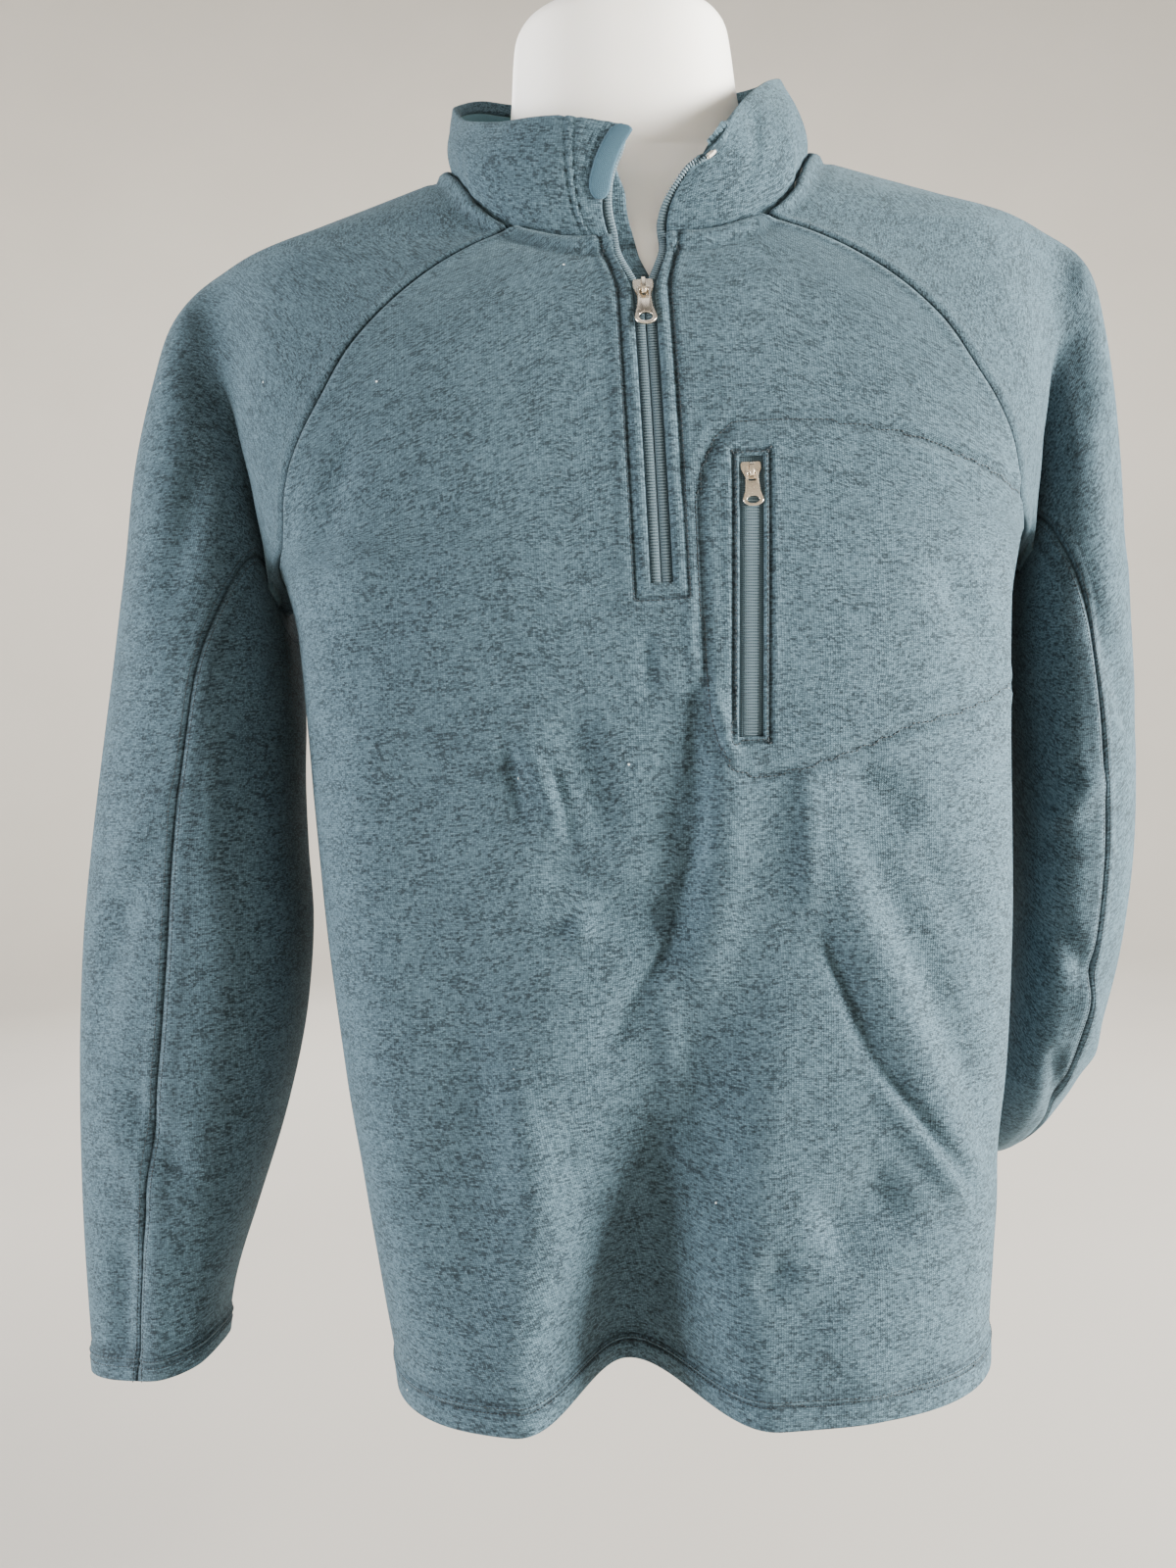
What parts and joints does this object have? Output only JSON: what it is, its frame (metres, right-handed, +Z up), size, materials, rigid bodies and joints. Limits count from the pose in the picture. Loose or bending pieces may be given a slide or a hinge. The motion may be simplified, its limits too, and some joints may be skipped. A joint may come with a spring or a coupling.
{
  "type": "quarter-zip fleece pullover on a hanging torso form",
  "caption": "Long-sleeved fleece pullover with an open stand collar, a short front zip and a zipped chest pocket, filled out on a limbless torso form that hangs by a wire hook.",
  "frame": {"origin": "top of the inside of the hook's bend, where the hook rests on a rail", "axes": "+Z up, along the form's height; -Y the way the chest faces; +X towards the wearer's left"},
  "size_m": [0.6203, 0.3187, 0.8333],
  "materials": {
    "fleece_front": "heathered slate-teal sweater knit, matt",
    "fleece_back": "heathered slate-teal sweater knit, matt",
    "fleece_sleeve": "heathered slate-teal sweater knit, matt",
    "fleece_under_sleeve": "heathered slate-teal sweater knit, matt",
    "fleece_collar": "heathered slate-teal sweater knit, matt",
    "plain_knit": "plain teal knit, matt",
    "guard_knit": "plain slate-blue knit, matt",
    "zip_tape": "plain slate-blue woven tape",
    "slider_metal": "warm grey metal, polished",
    "form_shell": "white, satin",
    "hook_steel": "bright"
  },
  "bodies": {
    "pullover_on_form": {"front_panel": "fleece_front", "back_panel": "fleece_back", "sleeve_right": "fleece_sleeve", "sleeve_left": "fleece_sleeve", "under_sleeve_right": "fleece_under_sleeve", "under_sleeve_left": "fleece_under_sleeve", "collar_outer": "fleece_collar", "collar_facing": "plain_knit", "wind_flap": "plain_knit", "pocket_bag": "plain_knit", "chin_guard": "guard_knit", "front_zip_tape_left": "zip_tape", "front_zip_tape_right": "zip_tape", "pocket_zip_tape": "zip_tape", "front_slider": "slider_metal", "pocket_slider": "slider_metal", "form_torso": "form_shell", "hook_nut": "hook_steel", "hook_wire": "hook_steel"},
    "front_zip_pull": {"front_pull": "slider_metal"},
    "pocket_zip_pull": {"pocket_pull": "slider_metal"}
  },
  "joints": [
    {"name": "front_pull_swing", "type": "hinge", "parent": "pullover_on_form", "child": "front_zip_pull", "pos_m": [0, -0.09682, -0.26114], "axis": [-1, 0, 0], "range_deg": [0, 150]},
    {"name": "pocket_pull_swing", "type": "hinge", "parent": "pullover_on_form", "child": "pocket_zip_pull", "pos_m": [0.04659, -0.11708, -0.36086], "axis": [-1, 0, 0], "range_deg": [0, 150]}
  ]
}
